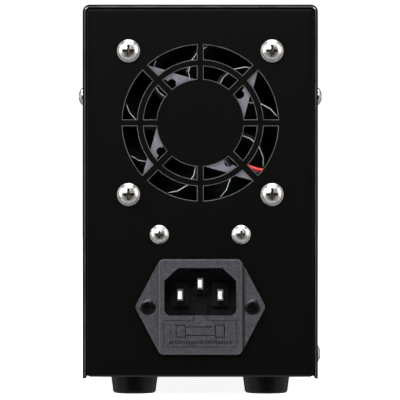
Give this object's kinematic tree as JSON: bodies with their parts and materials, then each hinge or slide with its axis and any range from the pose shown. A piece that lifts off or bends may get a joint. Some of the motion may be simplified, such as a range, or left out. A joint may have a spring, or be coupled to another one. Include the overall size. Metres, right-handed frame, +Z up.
{
  "type": "bench power supply",
  "caption": "Compact upright mains-powered bench supply: folded steel case, rear exhaust fan and fused mains inlet, front dials, rocker switch and screw-down output posts.",
  "frame": {"origin": "on the plane that the rubber feet stand on, at the middle of the overall width and of the overall depth", "axes": "+Z up, -Y towards the control panel at the front, +Y towards the fan and mains inlet at the rear, +X to the right as seen from the front"},
  "size_m": [0.0852, 0.227, 0.136],
  "materials": {
    "case_paint": "smooth satin black powder coat",
    "screw_black": "black oxide",
    "screw_zinc": "bright zinc",
    "screw_nickel": "bright nickel",
    "rubber": "matt",
    "fan_plastic": "satin moulded",
    "motor_copper": "enamelled copper",
    "inlet_plastic": "satin moulded",
    "nickel_contact": "nickel plate",
    "fuse_glass": "clear",
    "aluminium": "mill finish",
    "brass": "turned",
    "board": "solder mask",
    "capacitor_sleeve": "shrink sleeve",
    "ferrite": "sintered",
    "winding_tape": "polyester tape",
    "chip_plastic": "moulded epoxy",
    "bezel_plastic": "fine texture",
    "window_plastic": "smoked gloss",
    "display_plastic": "black face",
    "led_lens": "diffused",
    "knob_plastic": "satin moulded",
    "button_plastic": "light grey",
    "post_black": "moulded",
    "post_green": "moulded",
    "post_red": "moulded",
    "wire_brown": "pvc",
    "wire_blue": "pvc",
    "wire_green": "pvc",
    "wire_red": "pvc",
    "ribbon_grey": "pvc"
  },
  "bodies": {
    "case": {"cover": "case_paint", "chassis": "case_paint", "cover_screws": "screw_black", "rubber_feet": "rubber", "foot_screws": "screw_zinc", "fan_frame": "fan_plastic", "fan_stator": "motor_copper", "fan_screws": "screw_nickel", "rear_nuts": "screw_zinc", "inlet_housing": "inlet_plastic", "inlet_terminals": "nickel_contact", "inlet_screws": "screw_black", "rectifier_bracket": "aluminium", "bracket_screws": "screw_nickel", "board_standoffs": "brass", "main_board": "board", "inner_screws": "screw_zinc", "capacitors": "capacitor_sleeve", "transformer_core": "ferrite", "transformer_winding": "winding_tape", "heatsinks": "aluminium", "power_semiconductors": "chip_plastic", "inductors": "ferrite", "front_bezel": "bezel_plastic", "display_window": "window_plastic", "digit_displays": "display_plastic", "display_board": "board", "indicator_leds": "led_lens", "encoder_bodies": "nickel_contact", "output_switch": "chip_plastic", "rocker_housing": "knob_plastic", "post_bases": "knob_plastic", "post_studs": "brass", "front_nuts": "nickel_contact", "earth_stud": "nickel_contact", "live_wires": "wire_brown", "neutral_wire": "wire_blue", "earth_wires": "wire_green", "fan_leads": "wire_red", "output_leads": "wire_red", "display_ribbon": "ribbon_grey"},
    "fan_impeller": {"fan_rotor": "fan_plastic"},
    "drawer": {"fuse_drawer": "inlet_plastic", "fuse_glass": "fuse_glass", "fuse_caps": "nickel_contact"},
    "voltage_push": {"voltage_plunger": "nickel_contact"},
    "voltage_turn": {"voltage_shaft": "aluminium", "voltage_knob": "knob_plastic"},
    "current_push": {"current_plunger": "nickel_contact"},
    "current_turn": {"current_shaft": "aluminium", "current_knob": "knob_plastic"},
    "button": {"output_button": "button_plastic"},
    "rocker": {"power_rocker": "knob_plastic"},
    "black_lift": {"black_post_insert": "brass"},
    "black_turn": {"black_post_cap": "post_black"},
    "green_lift": {"green_post_insert": "brass"},
    "green_turn": {"green_post_cap": "post_green"},
    "red_lift": {"red_post_insert": "brass"},
    "red_turn": {"red_post_cap": "post_red"}
  },
  "joints": [
    {"name": "fan_spin", "type": "hinge", "parent": "case", "child": "fan_impeller", "pos_m": [0, 0.097, 0.0948], "axis": [0, 1, 0], "continuous": true},
    {"name": "fuse_drawer_slide", "type": "slide", "parent": "case", "child": "drawer", "axis": [0, 1, 0], "range_m": [0, 0.022]},
    {"name": "voltage_push", "type": "slide", "parent": "case", "child": "voltage_push", "axis": [0, 1, 0], "range_m": [0, 0.0005], "stiffness_N_per_m": 2500, "springref_m": -0.0008},
    {"name": "voltage_turn", "type": "hinge", "parent": "voltage_push", "child": "voltage_turn", "pos_m": [0.019, -0.0983, 0.073], "axis": [0, -1, 0], "continuous": true},
    {"name": "current_push", "type": "slide", "parent": "case", "child": "current_push", "axis": [0, 1, 0], "range_m": [0, 0.0005], "stiffness_N_per_m": 2500, "springref_m": -0.0008},
    {"name": "current_turn", "type": "hinge", "parent": "current_push", "child": "current_turn", "pos_m": [-0.019, -0.0983, 0.073], "axis": [0, -1, 0], "continuous": true},
    {"name": "output_button_press", "type": "slide", "parent": "case", "child": "button", "axis": [0, 1, 0], "range_m": [0, 0.001], "stiffness_N_per_m": 1200, "springref_m": -0.001},
    {"name": "power_rocker_tilt", "type": "hinge", "parent": "case", "child": "rocker", "pos_m": [-0.019, -0.0917, 0.05], "axis": [1, 0, 0], "range_deg": [-18, 0]},
    {"name": "black_post_lift", "type": "slide", "parent": "case", "child": "black_lift", "axis": [0, -1, 0], "range_m": [0, 0.004]},
    {"name": "black_post_turn", "type": "hinge", "parent": "black_lift", "child": "black_turn", "pos_m": [-0.019, -0.1053, 0.024], "axis": [0, -1, 0], "range_deg": [0, 1800]},
    {"name": "green_post_lift", "type": "slide", "parent": "case", "child": "green_lift", "axis": [0, -1, 0], "range_m": [0, 0.004]},
    {"name": "green_post_turn", "type": "hinge", "parent": "green_lift", "child": "green_turn", "pos_m": [0, -0.1053, 0.024], "axis": [0, -1, 0], "range_deg": [0, 1800]},
    {"name": "red_post_lift", "type": "slide", "parent": "case", "child": "red_lift", "axis": [0, -1, 0], "range_m": [0, 0.004]},
    {"name": "red_post_turn", "type": "hinge", "parent": "red_lift", "child": "red_turn", "pos_m": [0.019, -0.1053, 0.024], "axis": [0, -1, 0], "range_deg": [0, 1800]}
  ],
  "couplings": [
    {"joint": "black_post_turn", "follows": "black_post_lift", "rad_per_m": 7853},
    {"joint": "green_post_turn", "follows": "green_post_lift", "rad_per_m": 7853},
    {"joint": "red_post_turn", "follows": "red_post_lift", "rad_per_m": 7853}
  ]
}
